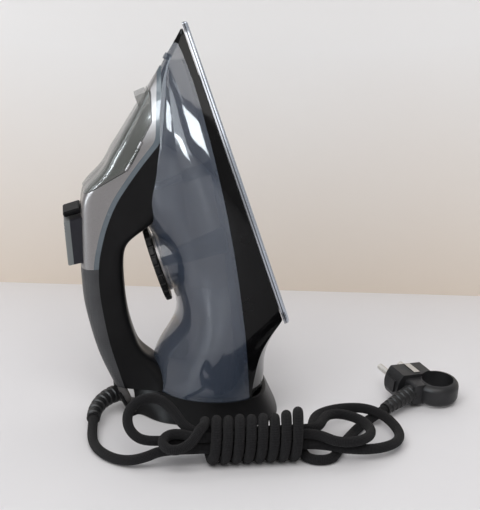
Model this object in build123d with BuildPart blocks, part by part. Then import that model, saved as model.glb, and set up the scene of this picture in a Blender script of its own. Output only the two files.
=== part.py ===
"""Steam iron standing on its heel, with its cord wound into a hank and its plug. Millimetres, +Z up."""
import os
from collections import namedtuple
from math import cos, dist, pi, radians, sin, sqrt, tan

from build123d import *

os.makedirs("parts", exist_ok=True)

# Soleplate: its working face leans back from the vertical while the iron stands on its heel
sole_tilt = 18.0
sole_length = 226.0
sole_width = 114.0
sole_widest = 54.0
sole_thickness = 4.0
sole_rear_x = 79.1
sole_rear_z = 80.0
sole_nose_radius = 3.0
sole_corner_radius = 20.0
sole_edge = 1.2
nose_power = 1.8
vent_diameter = 2.6
vent_pitch = 14.0
vent_inset = 14.0
vent_first = 50.0
vent_rows = 10

# Mouldings
wall = 2.4
seam = 0.2
skirt_lip = 1.5
skirt_edge_shift = 1.5
skirt_gap = 0.6
heel_height = 22.0
heel_floor = 2.6
heel_edge = 1.2
heel_middle_x = 13.0
trim_width = 3.6
grip_top = 117.0
handle_elbow_radius = 14.0
view_depth = 90.0

# Heating base inside the skirt
base_inset = 10.0
base_rear = 8.0
base_tip = 186.0
base_height = 6.0
base_nose_radius = 4.0
base_gap = 0.6
element_diameter = 4.4
element_radius = 12.0
element_stub = 2.0
element_end_y = 26.0
element_wide = (39.0, 34.0)
element_tip = 166.0
chamber_inset = 30.0
chamber_rear = 30.0
chamber_tip = 124.0
chamber_depth = 3.0
cover_margin = 2.5
cover_thickness = 1.2
thermostat_diameter = 15.0
thermostat_height = 5.0
fuse_diameter = 4.0
fuse_length = 14.0
fuse_u = 20.0
post_diameter = 7.0
post_places = [(26, 21), (26, -21), (88, 36), (88, -36)]

# Temperature dial on the tank under the handle
dial_u = 62.2
dial_v = 76.0
dial_diameter = 57.0
dial_thickness = 4.2
dial_gap = 0.8
dial_knurls = 24
knurl_radius = 1.3
bezel_diameter = 44.0
bezel_bore = 18.0
bezel_thickness = 1.6
boss_depth = 13.0
dial_shaft_diameter = 7.0
shaft_clearance = 0.4
shaft_end_gap = 0.3
shaft_tube_wall = 1.8
shaft_tube_foot = 22.0

# Steam lever, the rod it lifts and the rod's guide
lever_width = 22.0
lever_travel = 12.0
lever_stem_width = 6.0
lever_foot_width = 12.0
lever_outline = [(-82.8, 158.9), (-69.7, 162.7), (-69.7, 158.2), (-81.6, 155.2)]
lever_edge_radius = 1.6
lever_stem = [(-72, 159.2), (-72, 161.6), (-61.2, 161.6), (-61.2, 159.2)]
lever_foot = [(-62.8, 157.4), (-62.8, 163.4), (-61.2, 163.4), (-61.2, 157.4)]
lever_clearance = 0.5
rod_u = 118.2
rod_top = 103.0
rod_diameter = 5.0
rod_clearance = 0.4
rod_lift = 1.5
rod_tube_wall = 2.0
rod_tube_top = 40.0

# Push buttons with their pumps
button_outline = [(-82, 152.7), (-70, 155.7), (-60, 155.7), (-60, 121.2), (-71, 121.6), (-79.7, 119.8)]
button_split = 2.0
button_width = 13.2
button_travel = 4.0
button_clearance = 0.4
button_edge_radius = 1.2
button_ridges = 3
ridge_first = 3.4
ridge_pitch = 2.4
ridge_radius = 0.6
pump_z = 138.0
pump_y = 8.0
pump_face_x = -50.0
pump_diameter = 10.5
piston_diameter = 4.0
piston_clearance = 0.3
piston_end_x = -46.5
spring_radius = 3.7
spring_wire = 0.8
spring_turns = 3

# Filler door with its hinge, and the funnel under it
door_outline = [(-80, 167), (-37.2, 191.3), (-18.2, 226.2), (-18.4, 246.2), (-40, 262), (-80, 262)]
door_corner_radius = 3.0
door_proud = 0.9
door_depth = 0.9
door_gap = 1.0
door_lip = [(-25.6, 233.2), (-29, 242.8), (-21.2, 246), (-22.6, 239.6)]
door_lip_width = 16.0
hinge_low = (-36.5, -18.5, 191.6)
hinge_high = (-25.0, -17.1, 212.1)
hinge_radius = 1.4
hinge_gap = 0.3
knuckle_length = 5.0
hinge_pin_diameter = 1.4
hinge_pin_clearance = 0.1
tray_thickness = 1.6
tray_overlap = 3.0
neck_centre = (-37.6, 0, 212)
neck_diameter = 20.0
neck_wall = 2.2
neck_length = 22.0
neck_tilt = 30.6

# Spray nozzle at the nose
nozzle_z = 270.0
nozzle_diameter = 4.8
nozzle_depth = 4.0
nozzle_proud = 1.0
nozzle_bore = 1.0

# What the heel holds
heel_screw_x = 56.5
heel_screw_y = 22.0
screw_boss_diameter = 8.4
screw_boss_height = 12.0
screw_shank_diameter = 3.0
screw_head_diameter = 6.4
screw_head_height = 2.6
screw_recess = 7.2
block_size = (26.0, 22.0, 9.0)
block_x = 20.0
block_terminals = 3
clamp_size = (7.0, 16.0, 4.0)
clamp_x = -24.0

# Cord, its hank and its sleeves
cord_diameter = 7.2
cord_sides = 7
floor_gap = 0.1
arc_share = 0.45
cord_straight = 11.0
sleeve_ribs = 7
sleeve_rib_depth = 0.9
sleeve_root = (-43.0, 0.5, 13.5)
sleeve_bend = (-62.5, -9.0, 12.5)
sleeve_end = (-65.0, -34.0, 7.5)
sleeve_root_radius = 6.8
sleeve_end_radius = 5.0
hank_y = -104.0
hank_z = 17.5
hank_left = 15.6
hank_pitch = 7.7
hank_radius = 13.65
hank_turns = 8
hank_first_angle = 135.0
strand_pitch = 7.9
fold_radius = 13.0
left_eye_reach = 54.0
left_eye_radius = 16.0
left_eye_lean = 45.0
left_eye_lift = 4.0
far_eye = (122.0, -80.0)
far_eye_radius = 32.0
far_eye_heights = [(-90, 9.5), (0, 6.0), (55, 13.4), (90, 13.4), (150, 13.5)]
near_eye = (108.0, -97.0)
near_eye_radius = 22.0
near_eye_heights = [(90, 21.3), (0, 17.0), (-90, 18.5)]
tail_turn = 150.0
tail_radius = 10.0
gap_step = 2.0

# Plug lying on the floor: a finger ring with the round body beside it, where the cord comes in
ring_centre = (196.0, -13.0, 10.9)
plug_yaw = 67.0
plug_lift = 7.5
plug_roll = 6.0
ring_diameter = 33.0
ring_hole = 24.0
ring_height = 17.0
ring_edge_radius = 5.0
plug_body_start = 9.0
plug_body_side = 13.0
plug_body_length = 18.0
plug_diameter = 34.0
plug_flat = 21.0
plug_neck = (16.0, 22.0, 13.0)
neck_edge_radius = 3.0
sleeve_seat_depth = 3.0
pin_diameter = 4.8
pin_length = 19.0
pin_spacing = 19.0
clip_size = (5.0, 1.0, 14.0)
key_size = (9.0, 3.0, 11.0)
plug_sleeve_end = (151.4, -39.6, 7.5)
plug_sleeve_end_radius = 4.8
plug_sleeve_root_radius = 6.6

Station = namedtuple("Station", "z right corner side ridge shoulder facet")
Ring = namedtuple("Ring", "z outer outer_corner inner_corner inner")

lean_sin = sin(radians(sole_tilt))
lean_cos = cos(radians(sole_tilt))
sole_plane = Plane(
    origin=(sole_rear_x, 0, sole_rear_z),
    x_dir=(-lean_sin, 0, lean_cos),
    z_dir=(-lean_cos, 0, -lean_sin),
)
base_top = sole_thickness + base_height
cover_top = base_top + cover_thickness
thermostat_top = cover_top + thermostat_height
bezel_top = dial_v - dial_gap
boss_top = bezel_top - bezel_thickness


def sole_half_width(u, inset=0.0, tip=sole_length):
    """Half width at u of the sole's outline, or of one that is drawn in and ends at another tip."""
    half = sole_width / 2 - inset
    share = max(0.0, u - sole_widest) / (tip - sole_widest)
    return half * max(0.0, 1 - share**nose_power)


def sole_outline(v, inset, rear, tip, nose_radius):
    """Boat-shaped face parallel to the sole at a height v above its working face."""
    half = sole_width / 2 - inset
    corner = (rear + sole_corner_radius, half)
    places = [sole_widest + (tip - sole_widest) * share for share in (0.25, 0.5, 0.75, 0.9)]
    edge = [(u, sole_half_width(u, inset, tip)) for u in [*places, tip - nose_radius]]
    with BuildSketch(sole_axis(0, v)) as face:
        with BuildLine() as outline:
            Line((rear, 0), (rear, half - sole_corner_radius))
            TangentArc((rear, half - sole_corner_radius), corner, tangent=(0, 1))
            Line(corner, (sole_widest, half))
            Spline((sole_widest, half), *edge, (tip, 0), tangents=[(1, 0), (0, -1)])
            mirror(outline.line, about=Plane.XZ)
        make_face()
    return face.sketch


def skirt_edge(z):
    """Corner of the body at height z, on the sole's face, before the skirt is cut off short of the sole."""
    u = (z - sole_rear_z) / lean_cos
    return sole_rear_x - lean_sin * u, max(1.6, sole_half_width(u + skirt_edge_shift) - skirt_lip)


# Level outlines of the body, seen from above at heights from the heel to the nose.
# Upper ones take their right corner from the sole.
body_rows = [
    Station(2, 61.5, (48, 41), [(38, 46), (19, 46.5)], -27, (-14, 30), (-19, 23)),
    Station(22, 63.2, (51, 42), [(40, 47), (21, 47.5)], -22, (-7, 32), (-14, 22)),
    Station(50, 66, (55.4, 43.6), [(43.5, 49), (24, 48.6)], -16, (4, 34), (-8, 20)),
    Station(74, 76, (66, 47), [(50, 51), (28, 48.5)], -2, (11, 34.5), (2, 20)),
    Station(92, 78, (74, 52.5), [(53, 51.5), (31, 47)], -2, (12, 34), (2, 20)),
    Station(110, None, None, 5.0, -8, (12, 33), (-1, 20)),
    Station(138, None, None, 5.0, -17, (9, 31), (-6, 20)),
    Station(160, None, None, 4.5, -30, (6, 29.5), (-17, 20)),
    Station(182, None, None, 4.0, -33, (3, 28), (-15.5, 20.5)),
    Station(207, None, None, 3.2, -30, (-1, 25.5), (-13, 20)),
    Station(232, None, None, 2.2, -22.5, (-3.5, 19.5), (-11.7, 15.5)),
    Station(252, None, None, 1.2, -14.5, (-5, 12), (-10.4, 8.5)),
    Station(266, None, None, 0.6, -8.4, (-3.5, 6.4), (-6.6, 4)),
    Station(280, None, None, 0.3, -0.2, (2.6, 3.6), (0.8, 2.2)),
    Station(289, None, None, 0.0, 4.6, (6, 1.5), (5.2, 1.0)),
]

# Level outlines of the handle and of the control panel above it
handle_rows = [
    Ring(8, -41, (-31, 14.6), (-10, 25.5), -2),
    Ring(22, -48, (-38, 15), (-16, 22), -6),
    Ring(34, -53, (-43, 15.5), (-20, 19), -8),
    Ring(47, -58, (-48, 16), (-33, 16), -25),
    Ring(70, -64.8, (-54, 16.5), (-43, 15.5), -34.5),
    Ring(95, -69.4, (-58, 16.8), (-47, 15.5), -38.4),
    Ring(120, -70.6, (-60, 17.2), (-48, 16), -39.6),
    Ring(137, -69.8, (-61, 17.8), (-42, 17), -35),
    Ring(152, -69.2, (-61.5, 18.2), (-26, 18), -14),
    Ring(168, -68.2, (-61, 18.6), (-17, 19.4), -8),
    Ring(177, -64.4, (-57, 18.6), (-15, 20), -8),
    Ring(186, -55.4, (-48.5, 18.2), (-14, 20.4), -8),
    Ring(207, -42.8, (-37, 16.4), (-12.5, 20.2), -8),
    Ring(232, -28.2, (-24.4, 11), (-11.3, 15.7), -8),
    Ring(252, -16.8, (-15, 6), (-10.6, 8.7), -8),
    Ring(263, -10.6, (-10.2, 1.6), (-9, 2.6), -7),
]
door_rows = handle_rows[8:]

# Side view of the seam between tank and skirt, and of the line that parts handle core from grip and panel
seam_line = [(2.4, 279.5), (10.9, 258), (18.1, 232.4), (26.4, 197.2), (36.3, 145.5), (43.5, 93.7), (49.5, 22)]
seam_start = (-12.0, 281.0)
seam_end = (51.0, 0.0)
handle_line = [
    (-8.8, 268), (-11.8, 211.5), (-29.2, 189.5), (-44.4, 167), (-52.4, 146.5),
    (-58, 121), (-57.8, 100), (-55, 80), (-51, 58), (-40, 20),
]

# Outline of the heel where the mouldings stand on it, and of its foot on the floor
heel_top = [(64.6, 0), (52, 42.8), (40, 48), (21, 48.5), (-7, 33), (-16, 23.4), (-38, 15.8), (-48.8, 0)]
heel_foot = [(74, 0), (62, 39), (45, 47), (23, 47.4), (-3, 36.6), (-20, 26), (-33, 13.6), (-38.6, 0)]


def eased(heights, values, z):
    """Value at height z on a smooth curve through the given rows that never overshoots between them."""
    steps = [b - a for a, b in zip(heights, heights[1:])]
    slopes = [(b - a) / step for a, b, step in zip(values, values[1:], steps)]
    bends = [slopes[0]]
    for before, after in zip(slopes, slopes[1:]):
        bends.append(2 * before * after / (before + after) if before * after > 0 else 0.0)
    bends.append(slopes[-1])
    k = max(0, min(len(steps) - 1, sum(1 for h in heights if h <= z) - 1))
    t = (z - heights[k]) / steps[k]
    start = values[k] * (1 + 2 * t) * (1 - t) ** 2 + bends[k] * steps[k] * t * (1 - t) ** 2
    return start + values[k + 1] * t**2 * (3 - 2 * t) + bends[k + 1] * steps[k] * t**2 * (t - 1)


def levels(rows, count):
    """Even heights from the first row to the last, each with its eased row of numbers."""
    heights = [row[0] for row in rows]
    for k in range(count + 1):
        z = heights[0] + (heights[-1] - heights[0]) * k / count
        yield z, [eased(heights, column, z) for column in list(zip(*rows))[1:]]


def body_numbers(row):
    """A body row as plain numbers, with the skirt's corner taken from the sole where the row has none."""
    corner = row.corner or skirt_edge(row.z)
    middle = row.side
    if not row.corner:
        middle = []
        for share in (1 / 3, 2 / 3):
            x = corner[0] + (row.shoulder[0] - corner[0]) * share
            y = corner[1] + (row.shoulder[1] - corner[1]) * share + row.side
            middle.append((x, y))
    points = [corner, *middle, row.shoulder, row.facet]
    return [row.z, row.right or corner[0], row.ridge, *[n for point in points for n in point]]


def body_section(z, numbers, inset):
    """One level outline of the body, drawn in by inset on every side but the sole's."""
    right, ridge = numbers[:2]
    right = right - inset
    points = [(numbers[k], numbers[k + 1] - inset) for k in range(2, 12, 2)]
    flank = [(points[0][0] - inset, points[0][1]), *points[1:4]]
    facet = (points[4][0] + 0.6 * inset, points[4][1])
    with BuildSketch(Plane.XY.offset(z)) as face:
        with BuildLine():
            near = Spline(*flank)
            mirror(near, about=Plane.XZ)
            Spline((flank[0][0], -flank[0][1]), (right, 0), flank[0])
            below = [(x, -y) for x, y in (facet, flank[-1])]
            Spline(flank[-1], facet, (ridge + inset, 0), *below)
        make_face()
    return face.sketch


def handle_numbers(row):
    """A handle row as plain numbers."""
    return [row.z, row.outer, row.inner, *row.outer_corner, *row.inner_corner]


def handle_section(z, numbers, inset):
    """One level outline of the handle, rounded at both ends and drawn in by inset."""
    outer_end, inner_end = numbers[:2]
    outer = (numbers[2] + 0.3 * inset, numbers[3] - inset)
    inner = (numbers[4] - 0.3 * inset, numbers[5] - inset)
    run = (outer[0] - inner[0], outer[1] - inner[1])
    back = (-run[0], run[1])
    with BuildSketch(Plane.XY.offset(z)) as face:
        with BuildLine():
            near = Line(inner, outer)
            mirror(near, about=Plane.XZ)
            Spline(outer, (outer_end + inset, 0), (outer[0], -outer[1]), tangents=[run, back])
            Spline((inner[0], -inner[1]), (inner_end - inset, 0), inner, tangents=[back, run])
        make_face()
    return face.sketch


def sole_point(u, v, y=0.0):
    """World point at u along the sole from its rear, v above its working face and y to the side."""
    return sole_plane.from_local_coords((u, y, v))


def sole_axis(u, v, y=0.0):
    """Plane parallel to the sole at that point, for what stands square to the sole."""
    return Plane(origin=sole_point(u, v, y), x_dir=sole_plane.x_dir, z_dir=sole_plane.z_dir)


def bar(plane, radius, length):
    """Round bar from the plane along its normal."""
    with BuildPart() as piece:
        with BuildSketch(plane):
            Circle(radius)
        extrude(amount=length)
    return piece.part


def sole_bar(u, y, start_v, end_v, radius):
    """Round bar square to the sole between two heights above its working face."""
    return bar(sole_axis(u, start_v, y), radius, end_v - start_v)


def side_bar(start_x, end_x, y, z, radius):
    """Round bar along X."""
    return bar(Plane(origin=(start_x, y, z), x_dir=(0, 1, 0), z_dir=(1, 0, 0)), radius, end_x - start_x)


def side_prism(points, low_y, high_y):
    """Block between two Y values whose outline is given in the side view as (x, z)."""
    with BuildPart() as piece:
        with BuildSketch(Plane.XZ.offset(-high_y)):
            with BuildLine():
                Polyline(*points, close=True)
            make_face()
        extrude(amount=high_y - low_y)
    return piece.part


def body_loft(inset, rows, count):
    """Master form of the tank and skirt above the heel, drawn in by inset."""
    numbers = [body_numbers(row) for row in rows]
    with BuildPart() as form:
        loft(sections=[body_section(z, n, inset) for z, n in levels(numbers, count)])
        split(bisect_by=Plane.XY.offset(heel_height), keep=Keep.TOP)
    return form.part


def handle_loft(inset, rows, count):
    """Master form of the handle and control panel above the heel, drawn in by inset."""
    numbers = [handle_numbers(row) for row in rows]
    with BuildPart() as form:
        loft(sections=[handle_section(z, n, inset) for z, n in levels(numbers, count)])
        split(bisect_by=Plane.XY.offset(heel_height), keep=Keep.TOP)
    return form.part


def right_of_tank(shift):
    """Block on the sole's side of the seam between tank and skirt, with the seam moved by shift."""
    moved = [(x + shift, z) for x, z in seam_line]
    start = (seam_start[0] + shift, seam_start[1])
    end = (seam_end[0] + shift, seam_end[1])
    far = sole_rear_x + view_depth
    top = sole_rear_z + sole_length
    with BuildPart() as piece:
        with BuildSketch(Plane.XZ):
            with BuildLine():
                Line(start, moved[0])
                Spline(*moved)
                Line(moved[-1], end)
                Polyline(end, (far, end[1]), (far, top), (start[0], top), start)
            make_face()
        extrude(amount=view_depth, both=True)
    return piece.part


def arc_radii(points):
    """Radii of the largest tangent arcs that the runs of a route allow at its inner points."""
    radii = []
    for before, here, after in zip(points, points[1:], points[2:]):
        first = Vector(*here) - Vector(*before)
        second = Vector(*after) - Vector(*here)
        half_turn = radians(first.get_angle(second)) / 2
        radii.append(arc_share * min(first.length, second.length) / tan(half_turn))
    return radii


def left_of_handle_line(shift):
    """Block on the outer side of the line that parts handle core from grip, trim and panel."""
    runs = [Vector(*b) - Vector(*a) for a, b in zip(handle_line, handle_line[1:])]
    sides = [run.normalized().rotate(Axis.Z, -90) for run in runs]
    moved = []
    for here, before, after in zip(handle_line, [sides[0], *sides], [*sides, sides[-1]]):
        side = before + after
        step = side * (2 * shift / side.dot(side))
        moved.append((here[0] + step.X, here[1] + step.Y))
    far = sole_rear_x - 2 * view_depth
    with BuildPart() as piece:
        with BuildSketch(Plane.XZ):
            with BuildLine():
                FilletPolyline(*moved, radius=[handle_elbow_radius, *arc_radii(moved)[1:]])
                Polyline(moved[-1], (far, moved[-1][1]), (far, moved[0][1]), moved[0])
            make_face()
        extrude(amount=view_depth, both=True)
    return piece.part


def door_prism(margin):
    """Block through the panel over the filler door's outline, widened by margin."""
    with BuildPart() as piece:
        with BuildSketch(Plane.XZ) as face:
            with BuildLine():
                Polyline(*door_outline, close=True)
            make_face()
            fillet(face.vertices().sort_by(Axis.X)[-3:], door_corner_radius)
            if margin:
                offset(amount=margin, kind=Kind.ARC)
        extrude(amount=view_depth, both=True)
    return piece.part


def heel_outline(points, z, inset):
    """Level outline of the heel through its half points, drawn in by inset towards its middle."""
    middle = Vector(heel_middle_x, 0)
    arms = [Vector(*point) - middle for point in points]
    drawn = [middle + arm * (1 - inset / arm.length) for arm in arms]
    with BuildSketch(Plane.XY.offset(z)) as face:
        with BuildLine():
            half = Spline(*drawn, tangents=[(0, 1), (0, -1)])
            mirror(half, about=Plane.XZ)
        make_face()
    return face.sketch


body_outer = body_loft(0, body_rows, 16)
body_inner = body_loft(wall, body_rows[:-2], 14)
handle_outer = handle_loft(0, handle_rows, 24)
handle_inner = handle_loft(wall, handle_rows[:-1], 23)
sole_side = right_of_tank(0)
under_deck = right_of_tank(wall)
above_base = right_of_tank(-wall)
base_side = right_of_tank(wall + base_gap)
outer_side = left_of_handle_line(0)
trim_side = left_of_handle_line(trim_width)
shaft_hole = sole_bar(dial_u, 0, base_top, boss_top + 1, dial_shaft_diameter / 2 + shaft_clearance)
rod_hole = sole_bar(rod_u, 0, cover_top, rod_top, rod_diameter / 2 + rod_clearance)

# Soleplate with its steam vents in two rows along the edge
with BuildPart() as soleplate:
    inner = sole_outline(0, sole_edge, sole_edge, sole_length - sole_edge, sole_nose_radius)
    outer = sole_outline(sole_edge, 0, 0, sole_length, sole_nose_radius)
    loft(sections=[inner, outer], ruled=True)
    extrude(outer, amount=sole_thickness - sole_edge)
    vents = [vent_first + vent_pitch * k for k in range(vent_rows)]
    places = [(u, side * (sole_half_width(u) - vent_inset)) for u in vents for side in (-1, 1)]
    with Locations(*[sole_axis(u, sole_thickness, y) for u, y in places]):
        Hole(vent_diameter / 2, sole_thickness)
soleplate.part.label = "soleplate"
export_step(soleplate.part, "parts/soleplate.step")

# Sheathed heating element, bent to a hairpin and cast into the base
element_v = sole_thickness + base_height / 2
with BuildPart() as heating_element:
    with BuildLine(sole_axis(0, element_v)) as element_path:
        leg = [(base_rear - element_stub, element_end_y), element_wide]
        other_leg = [(u, -y) for u, y in reversed(leg)]
        FilletPolyline(*leg, (element_tip, 0), *other_leg, radius=element_radius)
    with BuildSketch(Plane(origin=element_path.line @ 0, z_dir=element_path.line % 0)):
        Circle(element_diameter / 2)
    sweep()
heating_element.part.label = "heating_element"
export_step(heating_element.part, "parts/heating_element.step")

with BuildPart() as heater_casting:
    casting = sole_outline(sole_thickness, base_inset, base_rear, base_tip, base_nose_radius)
    extrude(casting, amount=base_height)
    add(base_side, mode=Mode.INTERSECT)
    chamber_floor = base_top - chamber_depth
    chamber = sole_outline(chamber_floor, chamber_inset, chamber_rear, chamber_tip, base_nose_radius)
    extrude(chamber, amount=chamber_depth, mode=Mode.SUBTRACT)
    add(heating_element.part, mode=Mode.SUBTRACT)
heater_casting.part.label = "heater_casting"
export_step(heater_casting.part, "parts/heater_casting.step")

with BuildPart() as steam_chamber_cover:
    margins = (chamber_inset - cover_margin, chamber_rear - cover_margin, chamber_tip + cover_margin)
    extrude(sole_outline(base_top, *margins, base_nose_radius), amount=cover_thickness)
    add(sole_bar(rod_u, 0, base_top, cover_top, rod_diameter / 4), mode=Mode.SUBTRACT)
steam_chamber_cover.part.label = "steam_chamber_cover"
export_step(steam_chamber_cover.part, "parts/steam_chamber_cover.step")

with BuildPart() as thermostat:
    add(sole_bar(dial_u, 0, cover_top, thermostat_top, thermostat_diameter / 2))
thermostat.part.label = "thermostat"
export_step(thermostat.part, "parts/thermostat.step")

with BuildPart() as thermal_fuse:
    fuse_end = sole_point(fuse_u, base_top + fuse_diameter / 2, -fuse_length / 2)
    add(bar(Plane(origin=fuse_end, z_dir=(0, 1, 0)), fuse_diameter / 2, fuse_length))
thermal_fuse.part.label = "thermal_fuse"
export_step(thermal_fuse.part, "parts/thermal_fuse.step")

# Skirt: the gloss black moulding round the heating base, on four posts that stand on the casting
with BuildPart() as skirt_hollow:
    add(body_inner)
    add(under_deck, mode=Mode.INTERSECT)

with BuildPart() as skirt:
    add(body_outer)
    split(bisect_by=sole_plane.offset(sole_thickness + skirt_gap), keep=Keep.TOP)
    add(sole_side, mode=Mode.INTERSECT)
    add(skirt_hollow.part, mode=Mode.SUBTRACT)
    for u, y in post_places:
        add(sole_bar(u, y, base_top, base_top + sole_width, post_diameter / 2))
    for side in (-1, 1):
        screw_plane = Plane.XY.offset(heel_height).move(Pos(heel_screw_x, side * heel_screw_y, 0))
        add(bar(screw_plane, screw_boss_diameter / 2, screw_boss_height))
    add(sole_side, mode=Mode.INTERSECT)
    for side in (-1, 1):
        screw_plane = Plane.XY.offset(heel_height).move(Pos(heel_screw_x, side * heel_screw_y, 0))
        add(bar(screw_plane, screw_shank_diameter / 2, screw_boss_height - wall), mode=Mode.SUBTRACT)
    add(shaft_hole, mode=Mode.SUBTRACT)
    add(rod_hole, mode=Mode.SUBTRACT)
skirt.part.label = "skirt"
export_step(skirt.part, "parts/skirt.step")

# Water tank: see-through shell between skirt and handle, with a hollow boss under the dial
with BuildPart() as tank_hollow:
    add(body_inner)
    split(bisect_by=Plane.XY.offset(heel_height + wall), keep=Keep.TOP)

neck_normal = Vector(-cos(radians(neck_tilt)), 0, sin(radians(neck_tilt)))
neck_plane = Plane(origin=neck_centre, x_dir=(0, 1, 0), z_dir=-neck_normal)
neck_bore = bar(neck_plane.offset(-neck_wall), neck_diameter / 2 - neck_wall, neck_length)
nozzle_x = eased([row.z for row in body_rows], [row.ridge for row in body_rows], nozzle_z)
nozzle_point = Vector(nozzle_x, 0, nozzle_z) + neck_normal * nozzle_proud
nozzle_plane = Plane(origin=nozzle_point, x_dir=(0, 1, 0), z_dir=-neck_normal)
nozzle_seat = bar(nozzle_plane, nozzle_diameter / 2, nozzle_depth + nozzle_proud)

with BuildPart() as tank_shell:
    add(body_outer)
    add(sole_side, mode=Mode.SUBTRACT)
    add(tank_hollow.part, mode=Mode.SUBTRACT)
    add(sole_bar(dial_u, 0, boss_top - boss_depth, boss_top, bezel_diameter / 2))
    hollow_start = boss_top - boss_depth - wall
    boss_hollow = sole_bar(dial_u, 0, hollow_start, boss_top - wall, bezel_diameter / 2 - wall)
    add(boss_hollow, mode=Mode.SUBTRACT)
    add(sole_bar(dial_u, 0, boss_top, dial_v, bezel_diameter / 2), mode=Mode.SUBTRACT)
    add(shaft_hole, mode=Mode.SUBTRACT)
    add(rod_hole, mode=Mode.SUBTRACT)
    add(neck_bore, mode=Mode.SUBTRACT)
    add(nozzle_seat, mode=Mode.SUBTRACT)
tank_shell.part.label = "tank_shell"
export_step(tank_shell.part, "parts/tank_shell.step")

with BuildPart() as tank_base:
    add(tank_hollow.part)
    add(above_base, mode=Mode.INTERSECT)
    with BuildSketch(sole_axis(dial_u, cover_top)):
        Circle(shaft_tube_foot / 2)
    with BuildSketch(sole_axis(dial_u, boss_top - wall)):
        Circle(dial_shaft_diameter / 2 + shaft_clearance + shaft_tube_wall)
    loft()
    add(sole_bar(rod_u, 0, cover_top, rod_tube_top, rod_diameter / 2 + rod_clearance + rod_tube_wall))
    add(sole_side, mode=Mode.SUBTRACT)
    add(shaft_hole, mode=Mode.SUBTRACT)
    add(rod_hole, mode=Mode.SUBTRACT)
tank_base.part.label = "tank_base"
export_step(tank_base.part, "parts/tank_base.step")

with BuildPart() as spray_nozzle:
    add(nozzle_seat)
    add(bar(nozzle_plane, nozzle_bore / 2, nozzle_depth), mode=Mode.SUBTRACT)
spray_nozzle.part.label = "spray_nozzle"
export_step(spray_nozzle.part, "parts/spray_nozzle.step")

# Temperature dial on its shaft, over a fixed bezel
with BuildPart() as dial_bezel:
    add(sole_bar(dial_u, 0, boss_top, bezel_top, bezel_diameter / 2))
    add(sole_bar(dial_u, 0, boss_top, bezel_top, bezel_bore / 2), mode=Mode.SUBTRACT)
dial_bezel.part.label = "dial_bezel"
export_step(dial_bezel.part, "parts/dial_bezel.step")

with BuildPart() as temperature_dial:
    with BuildSketch(sole_axis(dial_u, dial_v)):
        Circle(dial_diameter / 2)
        with PolarLocations(dial_diameter / 2, dial_knurls):
            Circle(knurl_radius, mode=Mode.SUBTRACT)
    extrude(amount=dial_thickness)
    chamfer(temperature_dial.edges().filter_by(GeomType.CIRCLE).filter_by(
        lambda edge: edge.radius > bezel_diameter / 2), knurl_radius / 2)
temperature_dial.part.label = "temperature_dial"
export_step(temperature_dial.part, "parts/temperature_dial.step")

with BuildPart() as dial_shaft:
    add(sole_bar(dial_u, 0, thermostat_top + shaft_end_gap, dial_v, dial_shaft_diameter / 2))
dial_shaft.part.label = "dial_shaft"
export_step(dial_shaft.part, "parts/dial_shaft.step")

# Handle: inner core, soft grip, trim strip and the cover with the controls
with BuildPart() as handle_shell:
    add(handle_outer)
    add(handle_inner, mode=Mode.SUBTRACT)
    add(body_outer, mode=Mode.SUBTRACT)

with BuildPart() as handle_core:
    add(handle_shell.part)
    add(outer_side, mode=Mode.SUBTRACT)
    add(handle_core.solids().sort_by(SortBy.VOLUME)[-1], mode=Mode.REPLACE)
handle_core.part.label = "handle_core"
export_step(handle_core.part, "parts/handle_core.step")

with BuildPart() as handle_grip:
    add(handle_shell.part)
    add(outer_side, mode=Mode.INTERSECT)
    split(bisect_by=Plane.XY.offset(grip_top - seam), keep=Keep.BOTTOM)
handle_grip.part.label = "handle_grip"
export_step(handle_grip.part, "parts/handle_grip.step")

with BuildPart() as trim_strip:
    add(handle_shell.part)
    add(outer_side, mode=Mode.INTERSECT)
    add(trim_side, mode=Mode.SUBTRACT)
    split(bisect_by=Plane.XY.offset(grip_top), keep=Keep.TOP)
trim_strip.part.label = "trim_strip"
export_step(trim_strip.part, "parts/trim_strip.step")

hinge_run = Vector(*hinge_high) - Vector(*hinge_low)
hinge_plane = Plane(origin=hinge_low, x_dir=(0, 1, 0), z_dir=hinge_run)
print("door hinge", hinge_low, hinge_run.normalized())


def hinge_bar(start, end, radius):
    """Round bar on the door's hinge line between two distances from its low end."""
    return bar(hinge_plane.offset(start), radius, end - start)


barrel = (knuckle_length + hinge_gap, hinge_run.length - knuckle_length - hinge_gap)
knuckles = [(0, knuckle_length), (hinge_run.length - knuckle_length, hinge_run.length)]
button_reach = button_split / 2 + button_width + button_clearance
stem_reach = (lever_stem_width + lever_travel) / 2 + lever_clearance
button_back = max(x for x, z in button_outline)
back_heights = [z for x, z in button_outline if x == button_back]


def panel_window(low, high):
    """Side view of a cut through the panel's front wall between two heights."""
    front = pump_face_x - view_depth
    return [(front, low), (pump_face_x, low), (pump_face_x, high), (front, high)]


button_window = panel_window(min(back_heights) - button_clearance, max(back_heights) + button_clearance)
stem_heights = [z for x, z in lever_stem]
lever_slot = panel_window(min(stem_heights) - lever_clearance, max(stem_heights) + lever_clearance)

with BuildPart() as control_panel:
    add(handle_shell.part)
    add(trim_side, mode=Mode.INTERSECT)
    split(bisect_by=Plane.XY.offset(grip_top), keep=Keep.TOP)
    add(door_prism(door_gap), mode=Mode.SUBTRACT)
    add(side_prism(button_window, -button_reach, button_reach), mode=Mode.SUBTRACT)
    add(side_prism(lever_slot, -stem_reach, stem_reach), mode=Mode.SUBTRACT)
    add(hinge_bar(*barrel, hinge_radius + hinge_gap), mode=Mode.SUBTRACT)
    for knuckle in knuckles:
        add(hinge_bar(*knuckle, hinge_radius))
    add(hinge_bar(0, hinge_run.length, hinge_pin_diameter / 2), mode=Mode.SUBTRACT)
control_panel.part.label = "control_panel"
export_step(control_panel.part, "parts/control_panel.step")

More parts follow.
